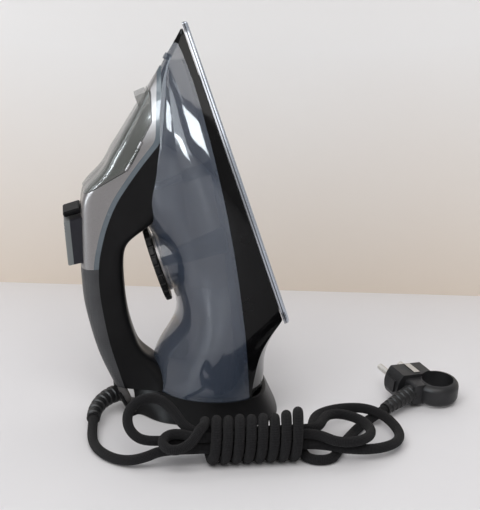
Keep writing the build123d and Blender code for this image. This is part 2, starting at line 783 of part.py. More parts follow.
with BuildPart() as door_hinge_pin:
    add(hinge_bar(0, hinge_run.length, hinge_pin_diameter / 2))
door_hinge_pin.part.label = "door_hinge_pin"
export_step(door_hinge_pin.part, "parts/door_hinge_pin.step")

with BuildPart() as filler_door:
    add(handle_loft(-door_proud, door_rows, 12))
    add(handle_loft(door_depth, door_rows[:-1], 12), mode=Mode.SUBTRACT)
    add(door_prism(0), mode=Mode.INTERSECT)
    add(side_prism(door_lip, -door_lip_width / 2, door_lip_width / 2))
    for start, end in knuckles:
        add(hinge_bar(start - hinge_gap, end + hinge_gap, hinge_radius + hinge_gap), mode=Mode.SUBTRACT)
    add(hinge_bar(*barrel, hinge_radius))
    pin_hole = hinge_pin_diameter / 2 + hinge_pin_clearance
    add(hinge_bar(0, hinge_run.length, pin_hole), mode=Mode.SUBTRACT)
filler_door.part.label = "filler_door"
export_step(filler_door.part, "parts/filler_door.step")

with BuildPart() as filler_tray:
    add(handle_inner)
    add(door_prism(tray_overlap), mode=Mode.INTERSECT)
    add(handle_loft(wall + tray_thickness, door_rows[:-1], 12), mode=Mode.SUBTRACT)
    add(bar(neck_plane, neck_diameter / 2, neck_length))
    add(body_outer, mode=Mode.SUBTRACT)
    add(neck_bore, mode=Mode.SUBTRACT)
    add(filler_tray.solids().sort_by(SortBy.VOLUME)[-1], mode=Mode.REPLACE)
filler_tray.part.label = "filler_tray"
export_step(filler_tray.part, "parts/filler_tray.step")

# Steam lever and the rod that it lifts off the drip hole
with BuildPart() as steam_lever:
    add(side_prism(lever_outline, -lever_width / 2, lever_width / 2))
    fillet(steam_lever.edges().filter_by(Axis.Z, reverse=True), lever_edge_radius)
    add(side_prism(lever_stem, -lever_stem_width / 2, lever_stem_width / 2))
    add(side_prism(lever_foot, -lever_foot_width / 2, lever_foot_width / 2))
steam_lever.part.label = "steam_lever"
export_step(steam_lever.part, "parts/steam_lever.step")

with BuildPart() as steam_valve_rod:
    add(sole_bar(rod_u, 0, cover_top + rod_lift + rod_clearance, rod_top - rod_lift, rod_diameter / 2))
steam_valve_rod.part.label = "steam_valve_rod"
export_step(steam_valve_rod.part, "parts/steam_valve_rod.step")


def biarc(start, heading, end, end_heading):
    """Two tangent arcs, or one straight run, from a point and heading to another point and heading."""
    chord = end - start
    total = heading + end_heading
    spread = 1 - heading.dot(end_heading)
    along = chord.dot(total)
    if chord.cross(heading).length < 1e-6 and spread < 1e-9:
        Line(start, end)
        return
    if spread < 1e-9:
        reach = chord.dot(chord) / (2 * along)
    else:
        reach = (sqrt(along**2 + 2 * spread * chord.dot(chord)) - along) / (2 * spread)
    first = start + heading * reach
    second = end - end_heading * reach
    joint = (first + second) * 0.5
    TangentArc(start, joint, tangent=heading)
    TangentArc(joint, end, tangent=second - first)


def coil(start, axis, radius, pitch, turns, first_angle, side):
    """Points and headings of a coil along X at every quarter turn; side is 1 or -1 for its hand."""
    count = round(turns * 4)
    for k in range(count + 1):
        turned = turns * k / count
        angle = radians(first_angle + side * 360 * turned)
        point = Vector(start + pitch * turned, axis[0] + radius * cos(angle), axis[1] + radius * sin(angle))
        round_about = Vector(0, -side * sin(angle), side * cos(angle)) * (2 * pi * radius)
        yield point, (round_about + Vector(pitch, 0, 0)).normalized()


def wound(stations, radius, sides):
    """One unbroken tube through points with headings; a few flat sides keep a fine wire light."""
    with BuildPart() as piece:
        with BuildLine() as path:
            for here, there in zip(stations, stations[1:]):
                biarc(*here, *there)
        with BuildSketch(Plane(origin=path.line @ 0, z_dir=path.line % 0)):
            RegularPolygon(radius, sides)
        sweep()
    return piece.part, path.line


# Push buttons with finger ridges near the top, each with its piston, pump and return spring
ridge_top = Vector(button_outline[0][0], 0, button_outline[0][1])
ridge_run = (Vector(button_outline[-1][0], 0, button_outline[-1][1]) - ridge_top).normalized()
for name, side in (("burst", -1), ("spray", 1)):
    centre_y = side * pump_y
    inner_y = side * button_split / 2
    outer_y = side * (button_split / 2 + button_width)
    with BuildPart() as button:
        add(side_prism(button_outline, min(inner_y, outer_y), max(inner_y, outer_y)))
        fillet(button.edges().filter_by(GeomType.LINE).sort_by(Axis.X)[:4], button_edge_radius)
        for k in range(button_ridges):
            groove = ridge_top + ridge_run * (ridge_first + ridge_pitch * k) + Vector(0, -view_depth, 0)
            groove_plane = Plane(origin=groove, z_dir=(0, 1, 0))
            add(bar(groove_plane, ridge_radius, 2 * view_depth), mode=Mode.SUBTRACT)
        add(side_bar(button_back, piston_end_x, centre_y, pump_z, piston_diameter / 2))
    button.part.label = name + "_button"
    export_step(button.part, "parts/" + name + "_button.step")

    with BuildPart() as pump:
        add(side_bar(pump_face_x, 0, centre_y, pump_z, pump_diameter / 2))
        add(handle_inner, mode=Mode.INTERSECT)
        add(body_outer, mode=Mode.SUBTRACT)
        bore_end = piston_end_x + button_travel + piston_clearance
        bore_radius = piston_diameter / 2 + piston_clearance
        add(side_bar(pump_face_x, bore_end, centre_y, pump_z, bore_radius), mode=Mode.SUBTRACT)
    pump.part.label = name + "_pump"
    export_step(pump.part, "parts/" + name + "_pump.step")

    spring_start = button_back + spring_wire / 2
    spring_pitch = (pump_face_x - button_back - spring_wire) / spring_turns
    turns = list(coil(spring_start, (centre_y, pump_z), spring_radius, spring_pitch, spring_turns, 0, side))
    with BuildPart() as spring:
        add(wound(turns, spring_wire / 2, 4)[0])
    spring.part.label = name + "_spring"
    export_step(spring.part, "parts/" + name + "_spring.step")

# Heel: hollow foot with the screws, the terminals and the cord clamp
with BuildPart() as heel_solid:
    foot = [heel_outline(heel_foot, 0, heel_edge), heel_outline(heel_foot, heel_edge, 0)]
    loft(sections=[*foot, heel_outline(heel_top, heel_height, 0)], ruled=True)

screw_places = [(heel_screw_x, side * heel_screw_y) for side in (-1, 1)]
recess_top = heel_floor + screw_head_height
with BuildPart() as heel_cover:
    add(heel_solid.part)
    low = heel_outline(heel_foot, heel_floor, wall)
    high = heel_outline(heel_top, heel_height, wall)
    loft(sections=[low, high], ruled=True, mode=Mode.SUBTRACT)
    for x, y in screw_places:
        add(bar(Plane(origin=(x, y, heel_floor / 2)), screw_boss_diameter / 2, heel_height - heel_floor / 2))
    add(heel_solid.part, mode=Mode.INTERSECT)
    for x, y in screw_places:
        add(bar(Plane(origin=(x, y, 0)), screw_recess / 2, heel_floor), mode=Mode.SUBTRACT)
        add(bar(Plane(origin=(x, y, 0)), screw_head_diameter / 2, recess_top), mode=Mode.SUBTRACT)
        add(bar(Plane(origin=(x, y, 0)), screw_shank_diameter / 2, heel_height), mode=Mode.SUBTRACT)
heel_cover.part.label = "heel_cover"
export_step(heel_cover.part, "parts/heel_cover.step")

with BuildPart() as heel_screws:
    for x, y in screw_places:
        add(bar(Plane(origin=(x, y, heel_floor)), screw_head_diameter / 2, screw_head_height))
        shank = heel_height + screw_boss_height - wall - recess_top
        add(bar(Plane(origin=(x, y, recess_top)), screw_shank_diameter / 2, shank))
heel_screws.part.label = "heel_screws"
export_step(heel_screws.part, "parts/heel_screws.step")

with BuildPart() as terminal_block:
    with Locations((block_x, 0, heel_floor)):
        Box(*block_size, align=(Align.CENTER, Align.CENTER, Align.MIN))
    with Locations(Plane.XY.offset(heel_floor + block_size[2]).move(Pos(block_x, 0, 0))):
        with GridLocations(0, block_size[1] / block_terminals, 1, block_terminals):
            Hole(screw_shank_diameter / 2, block_size[2] / 2)
terminal_block.part.label = "terminal_block"
export_step(terminal_block.part, "parts/terminal_block.step")

with BuildPart() as cord_clamp:
    with Locations((clamp_x, 0, heel_floor)):
        Box(*clamp_size, align=(Align.CENTER, Align.CENTER, Align.MIN))
    fillet(cord_clamp.edges().filter_by(Axis.X).group_by(Axis.Z)[-1], clamp_size[2] / 3)
cord_clamp.part.label = "cord_clamp"
export_step(cord_clamp.part, "parts/cord_clamp.step")


def ribbed_sleeve(start, bend, end, start_radius, end_radius):
    """Ribbed strain relief that tapers along a bent axis."""
    start, bend, end = Vector(*start), Vector(*bend), Vector(*end)
    places = []
    for rib in range(sleeve_ribs):
        for share, depth in ((0, 0), (0.5, 0), (0.62, sleeve_rib_depth), (0.88, sleeve_rib_depth)):
            places.append(((rib + share) / sleeve_ribs, depth))
    places.append((1.0, 0))
    rings = []
    for t, depth in places:
        centre = start * (1 - t) ** 2 + bend * (2 * t * (1 - t)) + end * t**2
        heading = (bend - start) * (1 - t) + (end - bend) * t
        radius = start_radius + (end_radius - start_radius) * t - depth
        with BuildSketch(Plane(origin=centre, x_dir=(0, 0, 1), z_dir=heading)) as ring:
            Circle(radius)
        rings.append(ring.sketch)
    with BuildPart() as piece:
        loft(sections=rings, ruled=True)
    return piece.part


def tube(points):
    """Round cord along a route of straight runs joined by the largest tangent arcs that the runs allow."""
    radii = arc_radii(points)
    with BuildPart() as piece:
        with BuildLine() as path:
            FilletPolyline(*points, radius=radii)
        with BuildSketch(Plane(origin=path.line @ 0, z_dir=path.line % 0)):
            Circle(cord_diameter / 2)
        sweep()
    length = sum(edge.length for edge in path.line.edges())
    share = piece.part.volume / (pi * cord_diameter**2 / 4 * length)
    print("cord radii", [round(r) for r in radii], "length", round(length), "volume share", round(share, 4))
    return piece.part


# Strain relief at the heel
with BuildPart() as cord_sleeve:
    add(ribbed_sleeve(sleeve_root, sleeve_bend, sleeve_end, sleeve_root_radius, sleeve_end_radius))
    add(heel_solid.part, mode=Mode.SUBTRACT)
cord_sleeve.part.label = "cord_sleeve"
export_step(cord_sleeve.part, "parts/cord_sleeve.step")

# Hank: four strands between three eyes, bound by the rest of the cord wound over them
floor_z = cord_diameter / 2 + floor_gap
near_y, far_y = hank_y - strand_pitch / 2, hank_y + strand_pitch / 2
low_z, high_z = hank_z - strand_pitch / 2, hank_z + strand_pitch / 2
wraps = hank_turns + (hank_first_angle + 90) / 360
hank_right = hank_left + hank_pitch * wraps
rise = radians(hank_first_angle)
bind_point = Vector(0, hank_y + hank_radius * cos(rise), hank_z + hank_radius * sin(rise))
bind_heading = Vector(0, sin(rise), -cos(rise))
fold_end = bind_point - bind_heading * fold_radius + Vector(hank_left - fold_radius, 0, 0)
fold_x = fold_end.X
hank_start_x = fold_x - 1.6 * cord_diameter
out, back = Vector(1, 0, 0), Vector(-1, 0, 0)
strand_left = hank_left - cord_diameter / 2
strand_right = hank_right + cord_diameter / 2


def eye_station(centre, radius, angle, z, side):
    """Point and heading on a level eye at an angle from +X; side is 1 or -1 for its hand."""
    turn = radians(angle)
    point = Vector(centre[0] + radius * cos(turn), centre[1] + radius * sin(turn), z)
    return point, Vector(-side * sin(turn), side * cos(turn), 0)


lean = Vector(0, cos(radians(left_eye_lean)), sin(radians(left_eye_lean)))
eye_foot = Vector(strand_left - left_eye_reach + left_eye_radius, far_y, low_z + left_eye_lift)
stations = [(Vector(hank_start_x, near_y, low_z), out), (Vector(strand_right, near_y, low_z), out)]
for angle, z in far_eye_heights:
    stations.append(eye_station(far_eye, far_eye_radius, angle, z, 1))
stations.append((Vector(strand_right, far_y, low_z), back))
stations.append((Vector(strand_left, far_y, low_z), back))
stations.append((eye_foot, back))
stations.append((eye_foot + (lean + back) * left_eye_radius, lean))
stations.append((eye_foot + lean * (2 * left_eye_radius), out))
stations.append((Vector(strand_left, far_y, high_z), out))
stations.append((Vector(strand_right, far_y, high_z), out))
for angle, z in near_eye_heights:
    stations.append(eye_station(near_eye, near_eye_radius, angle, z, -1))
stations.append((Vector(strand_right, near_y, high_z), back))
stations.append((Vector(fold_x, near_y, high_z), back))
stations.append((fold_end, out))
stations.extend(coil(hank_left, (hank_y, hank_z), hank_radius, hank_pitch, wraps, hank_first_angle, -1))
turn_end = radians(tail_turn - 90)
bottom = stations[-1][0]
tail_heading = Vector(cos(turn_end), sin(turn_end), 0)
turn_middle = bottom + Vector(tail_radius, -tail_radius, 0)
turn_point = turn_middle + Vector(tail_radius * sin(turn_end), tail_radius * (1 - cos(turn_end)), 0)
stations.append((turn_middle, out))
stations.append((turn_point, tail_heading))
hank_end = turn_point + tail_heading * cord_diameter
stations.append((hank_end, tail_heading))

with BuildPart() as cord_hank:
    hank_tube, hank_path = wound(stations, cord_diameter / 2, cord_sides)
    add(hank_tube)
cord_hank.part.label = "cord_hank"
export_step(cord_hank.part, "parts/cord_hank.step")

hank_length = 0.0
samples = []
for edge in hank_path.edges():
    count = int(edge.length / gap_step) + 1
    shares = [k / count for k in range(count)]
    samples.extend((hank_length + edge.length * share, tuple(edge.position_at(share))) for share in shares)
    hank_length += edge.length
gaps = []
for k, (along, here) in enumerate(samples):
    gaps.extend(dist(here, there) for further, there in samples[k:] if further - along > 3 * cord_diameter)
print("hank length", round(hank_length), "least gap to itself", round(min(gaps) - cord_diameter, 2))
section = cord_sides / 2 * (cord_diameter / 2) ** 2 * sin(2 * pi / cord_sides)
print("hank volume share", round(cord_hank.part.volume / (section * hank_length), 4))
print("hank end", hank_end, tail_heading)

# Lead from the strain relief to the hank, and tail from the hank to the plug
sleeve_heading = (Vector(*sleeve_end) - Vector(*sleeve_bend)).normalized()
lead_second = Vector(*sleeve_end) + sleeve_heading * cord_straight
lead_last = Vector(hank_start_x - cord_straight, near_y, low_z)
lead_points = [
    sleeve_end, tuple(lead_second), (-66.8, -63.5, floor_z), (-63.4, -80.5, floor_z), (-54.5, -95.5, floor_z),
    (-42, -106, floor_z + 1.9), (-30, -110, floor_z + 6.2), tuple(lead_last), (hank_start_x, near_y, low_z),
]
with BuildPart() as cord_lead:
    add(tube(lead_points))
cord_lead.part.label = "cord_lead"
export_step(cord_lead.part, "parts/cord_lead.step")

# Directions of the plug: along its pins, square to its ring, and up across its face
yaw = radians(plug_yaw)
lift = radians(plug_lift)
roll = radians(plug_roll)
plug_axis = Vector(-cos(yaw) * cos(lift), sin(yaw) * cos(lift), sin(lift))
ring_up = Vector(cos(yaw) * sin(lift), -sin(yaw) * sin(lift), cos(lift))
face_up = ring_up * cos(roll) + plug_axis.cross(ring_up) * sin(roll)
ring_plane = Plane(origin=ring_centre, x_dir=plug_axis, z_dir=ring_up)
body_start = ring_plane.from_local_coords((plug_body_start, plug_body_side, 0))
body_plane = Plane(origin=body_start, x_dir=face_up, z_dir=plug_axis)
sleeve_seat = body_plane.from_local_coords((0, sleeve_seat_depth - plug_neck[1] / 2, -plug_neck[2] / 2))
plug_sleeve_heading = (sleeve_seat - Vector(*plug_sleeve_end)).normalized()

tail_first = hank_end + tail_heading * cord_straight
tail_last = Vector(*plug_sleeve_end) - plug_sleeve_heading * cord_straight
tail_points = [
    tuple(hank_end), tuple(tail_first), (120, -74.5, floor_z), (130, -58.5, floor_z),
    tuple(tail_last), plug_sleeve_end,
]
with BuildPart() as cord_tail:
    add(tube(tail_points))
cord_tail.part.label = "cord_tail"
export_step(cord_tail.part, "parts/cord_tail.step")


def plug_facing(s, up=0.0, across=0.0):
    """Plane square to the plug's pins at a distance s from where its round body starts."""
    return Plane(origin=body_plane.from_local_coords((up, across, s)), x_dir=face_up, z_dir=plug_axis)


# Plug: ring, neck and round body with two flats; the ring's hole is cut through all of them
with BuildPart() as plug_body:
    with BuildSketch(ring_plane.offset(-ring_height / 2)):
        Circle(ring_diameter / 2)
    extrude(amount=ring_height)
    fillet(plug_body.edges().filter_by(GeomType.CIRCLE), ring_edge_radius)
    with BuildSketch(plug_facing(-plug_neck[2])):
        RectangleRounded(plug_neck[0], plug_neck[1], neck_edge_radius)
    extrude(amount=plug_neck[2])
    with BuildSketch(plug_facing(0)):
        Circle(plug_diameter / 2)
        Rectangle(plug_flat, plug_diameter, mode=Mode.INTERSECT)
    extrude(amount=plug_body_length)
    for side in (-1, 1):
        with Locations(plug_facing(plug_body_length / 2, 0, side * plug_diameter / 2)):
            Box(*key_size)
    with BuildSketch(ring_plane.offset(-plug_diameter)):
        Circle(ring_hole / 2)
    extrude(amount=2 * plug_diameter, mode=Mode.SUBTRACT)
plug_body.part.label = "plug_body"
export_step(plug_body.part, "parts/plug_body.step")

with BuildPart() as plug_pins:
    for across in (-pin_spacing / 2, pin_spacing / 2):
        add(bar(plug_facing(plug_body_length, 0, across), pin_diameter / 2, pin_length))
    fillet(plug_pins.faces().sort_by(Axis(ring_centre, plug_axis))[-2:].edges(), pin_diameter / 3)
plug_pins.part.label = "plug_pins"
export_step(plug_pins.part, "parts/plug_pins.step")

with BuildPart() as plug_earth_clips:
    for side in (-1, 1):
        with Locations(plug_facing(plug_body_length / 2, side * (plug_flat + clip_size[1]) / 2)):
            Box(clip_size[1], clip_size[0], clip_size[2])
plug_earth_clips.part.label = "plug_earth_clips"
export_step(plug_earth_clips.part, "parts/plug_earth_clips.step")

with BuildPart() as plug_sleeve:
    start = Vector(*plug_sleeve_end)
    mid = (start + sleeve_seat) * 0.5
    add(ribbed_sleeve(start, mid, sleeve_seat, plug_sleeve_end_radius, plug_sleeve_root_radius))
    add(plug_body.part, mode=Mode.SUBTRACT)
    add(plug_sleeve.solids().sort_by(SortBy.VOLUME)[-1], mode=Mode.REPLACE)
plug_sleeve.part.label = "plug_sleeve"
export_step(plug_sleeve.part, "parts/plug_sleeve.step")
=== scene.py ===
"""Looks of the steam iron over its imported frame: cord, springs, materials, light, camera. Metres, +Z up."""
from math import cos, pi, radians, sin

import bmesh
import bpy
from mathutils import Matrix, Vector


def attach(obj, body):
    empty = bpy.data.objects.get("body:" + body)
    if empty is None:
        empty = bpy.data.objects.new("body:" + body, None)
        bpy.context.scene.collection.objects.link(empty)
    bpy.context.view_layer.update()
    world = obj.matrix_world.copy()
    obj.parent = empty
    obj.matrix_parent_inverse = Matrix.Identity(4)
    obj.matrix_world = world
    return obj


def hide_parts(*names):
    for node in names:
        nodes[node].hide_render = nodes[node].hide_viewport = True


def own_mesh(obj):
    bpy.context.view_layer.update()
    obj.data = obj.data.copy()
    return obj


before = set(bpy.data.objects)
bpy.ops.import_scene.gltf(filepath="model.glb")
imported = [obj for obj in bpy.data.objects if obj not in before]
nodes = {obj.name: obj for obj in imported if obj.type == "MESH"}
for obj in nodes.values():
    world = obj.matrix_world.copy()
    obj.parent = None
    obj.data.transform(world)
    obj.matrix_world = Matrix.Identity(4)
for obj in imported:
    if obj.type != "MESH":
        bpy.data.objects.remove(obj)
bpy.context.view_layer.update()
scene = bpy.context.scene


def new_object(name, data):
    """Object of that data in the scene."""
    made = bpy.data.objects.new(name, data)
    scene.collection.objects.link(made)
    return made


# Camera, fitted to the photograph
look_at = Vector((0.047, 0.0, 0.119))
camera_azimuth = radians(-6.0)
camera_elevation = radians(18.5)
camera_distance = 1.3
camera_lens = 124.0
camera_sensor = 36.0

camera = new_object("camera", bpy.data.cameras.new("camera"))
away = Vector((
    sin(camera_azimuth) * cos(camera_elevation),
    -cos(camera_azimuth) * cos(camera_elevation),
    sin(camera_elevation),
))
camera.location = look_at + away * camera_distance
camera.rotation_euler = (-away).to_track_quat("-Z", "Y").to_euler()
camera.data.lens = camera_lens
camera.data.sensor_width = camera_sensor
scene.camera = camera

# Cord: control points of its route in millimetres, close to the route in the part's source
cord_diameter = 7.3
cord_sides = 14
cord_steps = 4
millimetre = 0.001

# The four strands lie two by two round the middle of the hank
near_y, far_y = -107.95, -100.05
low_z, high_z = 13.55, 21.45
hank_y, hank_z = -104.0, 17.5

# The binding starts at an angle in degrees; each turn, counted from its bottom, has its own slack at the top
hank_left = 10.4
hank_pitch = 8.2
hank_radius = 13.65
hank_turns = 8.625
hank_first = 135.0
turn_slack = [0.0, 0.7, 0.1, 0.9, 0.3, 0.8, 0.4, 2.6, 5.0]
slack_shift = 1 - (hank_first + 90) / 360
eye_lean = radians(45)

# Control points of an arc lie further out than the spline that they make
turn_points = 12
arc_gain = 1 / (0.75 + 0.25 * cos(2 * pi / turn_points))


def level_eye(centre, radius, stations):
    """Control points of a nearly level eye, from pairs of angle and height."""
    reach = radius * arc_gain
    points = []
    for angle, z in stations:
        turn = radians(angle)
        points.append((centre[0] + reach * cos(turn), centre[1] + reach * sin(turn), z))
    return points


def leaning_eye(centre, radius, angles):
    """Control points of an eye that leans halfway back."""
    reach = radius * arc_gain
    points = []
    for angle in angles:
        turn = radians(angle)
        up = reach * sin(turn) * sin(eye_lean)
        points.append((centre[0] + reach * cos(turn), centre[1] + up, centre[2] + up))
    return points


def binding():
    """Control points of the turns wound over the strands."""
    count = round(hank_turns * turn_points)
    reach = hank_radius * arc_gain
    points = []
    for k in range(1, count):
        turned = hank_turns * k / count
        angle = radians(hank_first - 360 * turned)
        slack = turn_slack[int(turned + slack_shift)] * max(0.0, sin(angle))
        x = hank_left + hank_pitch * turned
        y = hank_y + reach * cos(angle)
        z = hank_z + reach * sin(angle) + slack
        points.append((x, y, z))
    return points


lead = [
    (-65, -34, 7.5), (-66.07, -44.74, 5.35), (-66.8, -63.5, 3.7), (-63.4, -80.5, 3.7),
    (-54.5, -95.5, 3.7), (-42, -106, 5.6), (-30, -110, 9.9), (-19.92, near_y, low_z),
]
first_strand = [(10, near_y, low_z), (45, near_y, low_z), (80, near_y, low_z), (88, near_y, 13.3)]
far_eye = [(100, -109, 12), (111, -112.3, 10.3)]
far_eye += level_eye((122, -80), 32, [
    (-80, 9.2), (-50, 7.9), (-20, 6.6), (10, 6.9), (40, 11.0),
    (65, 13.4), (90, 13.4), (115, 13.4), (140, 13.45),
])
second_strand = [
    (92.5, -71, 13.5), (90.3, -81, 13.5), (90.4, -90.5, 13.5), (87, -97.5, low_z), (79.5, far_y, low_z),
    (70, far_y, low_z), (45, far_y, low_z), (15, far_y, low_z), (0, far_y, 13.6),
]
left_eye = [(-14, far_y, 17.2)]
left_eye += leaning_eye((-26, -88.74, 28.86), 16, [-105, -135, -165, -195, -225, -255])
left_eye += [(-19, -77.4, 40.2), (-10, -84.5, 34.5), (-3, -95, 25.5), (6, -99.6, 21.8)]
third_strand = [
    (15, far_y, high_z), (45, far_y, high_z), (78, far_y, high_z),
    (88, -99.5, 21.4), (94, -94.5, 21.4), (97, -86, 21.4), (101, -78.3, 21.4),
]
near_eye = level_eye((108, -97), 22, [
    (90, 21.1), (68, 20.3), (42, 19.0), (15, 17.7), (-15, 17.2), (-45, 17.8), (-75, 18.4), (-105, 19.2),
])
fourth_strand = [
    (92.5, -110.5, 20.9), (84, near_y, high_z), (76, near_y, high_z),
    (45, near_y, high_z), (15, near_y, high_z),
]
fold = [(6, -107.3, 21.6), (-0.5, -104.9, 22.5)]
fold += level_eye((-9, -113), 9.6, [
    (75, 23.4), (105, 23.6), (135, 23.0), (165, 22.0), (195, 20.8), (225, 19.9), (255, 19.7), (285, 20.6),
])
fold += [(0.5, -120.6, 24), (4.5, -118.3, 28.5), (7.5, -114.5, 31.8)]
tail = level_eye((93, -103.5), 11, [
    (183, 3.75), (212, 3.75), (239, 3.75), (266, 3.75), (293, 3.75), (320, 3.8), (345, 3.85),
])
tail += [
    (107, -99, 3.85), (112, -89.5, 3.85), (120.5, -74, 3.7), (130, -58.5, 3.7),
    (143.08, -46.63, 5.95), (151.4, -39.6, 7.5),
]
route = lead + first_strand + far_eye + second_strand + left_eye + third_strand + near_eye + fourth_strand
route += fold + binding() + tail


def spline_points(points, steps):
    """Points in metres along the smooth spline that has those control points."""
    curve = bpy.data.curves.new("route", "CURVE")
    curve.dimensions = "3D"
    curve.resolution_u = steps
    spline = curve.splines.new("NURBS")
    spline.points.add(len(points) - 1)
    for point, place in zip(spline.points, points):
        point.co = (*(c * millimetre for c in place), 1.0)
    spline.order_u = 3
    spline.use_endpoint_u = True
    carrier = new_object("route", curve)
    bpy.context.view_layer.update()
    depsgraph = bpy.context.evaluated_depsgraph_get()
    mesh = bpy.data.meshes.new_from_object(carrier.evaluated_get(depsgraph))
    line = [v.co.copy() for v in mesh.vertices]
    bpy.data.objects.remove(carrier)
    bpy.data.meshes.remove(mesh)
    bpy.data.curves.remove(curve)
    return line


def tube_mesh(name, line, radius, sides):
    """Closed tube along a line, with UVs that run round it and along its length in metres."""
    lengths = [0.0]
    for a, b in zip(line, line[1:]):
        lengths.append(lengths[-1] + (b - a).length)
    angles = [2 * pi * n / sides for n in range(sides)]
    mesh = bmesh.new()
    uv = mesh.loops.layers.uv.new("UVMap")
    rings = []
    heading = (line[1] - line[0]).normalized()
    side = heading.cross(Vector((0, 0, 1))).normalized()
    for k, place in enumerate(line):
        before = line[max(k - 1, 0)]
        after = line[min(k + 1, len(line) - 1)]
        heading = (after - before).normalized()
        side = (side - heading * side.dot(heading)).normalized()
        up = heading.cross(side)
        rings.append([mesh.verts.new(place + (side * cos(a) + up * sin(a)) * radius) for a in angles])
    for k, (low, high) in enumerate(zip(rings, rings[1:])):
        for n in range(sides):
            m = (n + 1) % sides
            face = mesh.faces.new((low[n], low[m], high[m], high[n]))
            face.smooth = True
            corners = ((n, k), (n + 1, k), (n + 1, k + 1), (n, k + 1))
            for loop, (across, along) in zip(face.loops, corners):
                loop[uv].uv = (across / sides, lengths[along])
    mesh.faces.new(list(reversed(rings[0])))
    mesh.faces.new(rings[-1])
    data = bpy.data.meshes.new(name)
    mesh.to_mesh(data)
    mesh.free()
    return data


cord_line = spline_points(route, cord_steps)
cord = new_object("cord", tube_mesh("cord", cord_line, cord_diameter / 2000, cord_sides))
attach(cord, "iron")
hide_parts("cord_lead", "cord_hank", "cord_tail")

# Return springs behind the two buttons, in millimetres as in the part's source
button_back, pump_face = -60.0, -50.0
spring_y, spring_z = 8.0, 138.0
spring_radius, spring_wire, spring_turns = 3.7, 0.8, 3
spring_points, spring_sides = 28, 10
spring_steps = spring_turns * spring_points
spring_room = pump_face - button_back
spring_run = spring_room - spring_wire
springs = []
for name, side in (("burst", -1), ("spray", 1)):
    line = []
    for k in range(spring_steps + 1):
        angle = side * 2 * pi * k / spring_points
        x = button_back + spring_wire / 2 + spring_run * k / spring_steps
        y = side * spring_y + spring_radius * cos(angle)
        z = spring_z + spring_radius * sin(angle)
        line.append(Vector((x, y, z)) / 1000)
    spring_name = name + "_return_spring"
    spring = new_object(spring_name, tube_mesh(spring_name, line, spring_wire / 2000, spring_sides))
    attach(spring, "iron")
    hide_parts(name + "_spring")
    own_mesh(spring)
    springs.append(spring)


class Look:
    """A material's node tree, with short calls for what the materials share."""

    def __init__(self, name):
        self.material = bpy.data.materials.new(name)
        self.material.use_nodes = True
        self.tree = self.material.node_tree
        self.shader = self.tree.nodes["Principled BSDF"]
        self.coords = self.node("ShaderNodeTexCoord")
        self.here = self.coords.outputs["Object"]

    def set(self, **values):
        """Sets inputs of the shader, with _ for each space in a name."""
        for key, value in values.items():
            self.shader.inputs[key.replace("_", " ")].default_value = value
        return self

    def node(self, kind, **values):
        made = self.tree.nodes.new(kind)
        for key, value in values.items():
            setattr(made, key, value)
        return made

    def link(self, output, socket):
        self.tree.links.new(output, socket)

    def stretched(self, scale, rotation):
        """Object coordinates, scaled and then turned."""
        mapping = self.node("ShaderNodeMapping")
        mapping.inputs["Scale"].default_value = scale
        mapping.inputs["Rotation"].default_value = rotation
        self.link(self.here, mapping.inputs["Vector"])
        return mapping.outputs["Vector"]

    def axes(self, source="Object"):
        """Coordinates taken apart into X, Y and Z."""
        made = self.node("ShaderNodeSeparateXYZ")
        self.link(self.coords.outputs[source], made.inputs["Vector"])
        return made.outputs

    def noise(self, scale, detail=4, rough=0.55, vector=None):
        """Cloudy values from 0 to 1, at object coordinates unless others are given."""
        made = self.node("ShaderNodeTexNoise")
        made.inputs["Scale"].default_value = scale
        made.inputs["Detail"].default_value = detail
        made.inputs["Roughness"].default_value = rough
        self.link(self.here if vector is None else vector, made.inputs["Vector"])
        return made.outputs["Fac"]

    def math(self, operation, a, b=None):
        made = self.node("ShaderNodeMath", operation=operation)
        for socket, value in zip(made.inputs, (a, b)):
            if value is None:
                continue
            if isinstance(value, (int, float)):
                socket.default_value = value
            else:
                self.link(value, socket)
        return made.outputs[0]

    def span(self, value, low, high, start=0.0, end=1.0):
        """Values from start to end, mapped to low to high."""
        made = self.node("ShaderNodeMapRange")
        for key, number in (("From Min", start), ("From Max", end), ("To Min", low), ("To Max", high)):
            made.inputs[key].default_value = number
        self.link(value, made.inputs["Value"])
        return made.outputs["Result"]

    def ramp(self, value, stops):
        """Colours by value, from pairs of position and colour."""
        made = self.node("ShaderNodeValToRGB")
        while len(made.color_ramp.elements) < len(stops):
            made.color_ramp.elements.new(0.5)
        for element, (position, colour) in zip(made.color_ramp.elements, stops):
            element.position = position
            element.color = (*colour, 1)
        self.link(value, made.inputs["Fac"])
        return made.outputs["Color"]

    def colour(self, output):
        self.link(output, self.shader.inputs["Base Color"])

    def clouds(self, scale, detail, darker, lighter, edge=0.3):
        """Base colour that drifts between two shades."""
        self.colour(self.ramp(self.noise(scale, detail), [(edge, darker), (1 - edge, lighter)]))

    def rough(self, value, low, high):
        self.link(self.span(value, low, high), self.shader.inputs["Roughness"])

    def bump(self, value, strength, distance):
        made = self.node("ShaderNodeBump")
        made.inputs["Strength"].default_value = strength
        made.inputs["Distance"].default_value = distance
        self.link(value, made.inputs["Height"])
        self.link(made.outputs["Normal"], self.shader.inputs["Normal"])


def shade(colour, gain):
    """The colour made darker by a gain below 1."""
    return tuple(c * gain for c in colour)


def dress(look, *names):
    """Gives CAD nodes that material."""
    for name in names:
        nodes[name].data.materials.clear()
        nodes[name].data.materials.append(look.material)


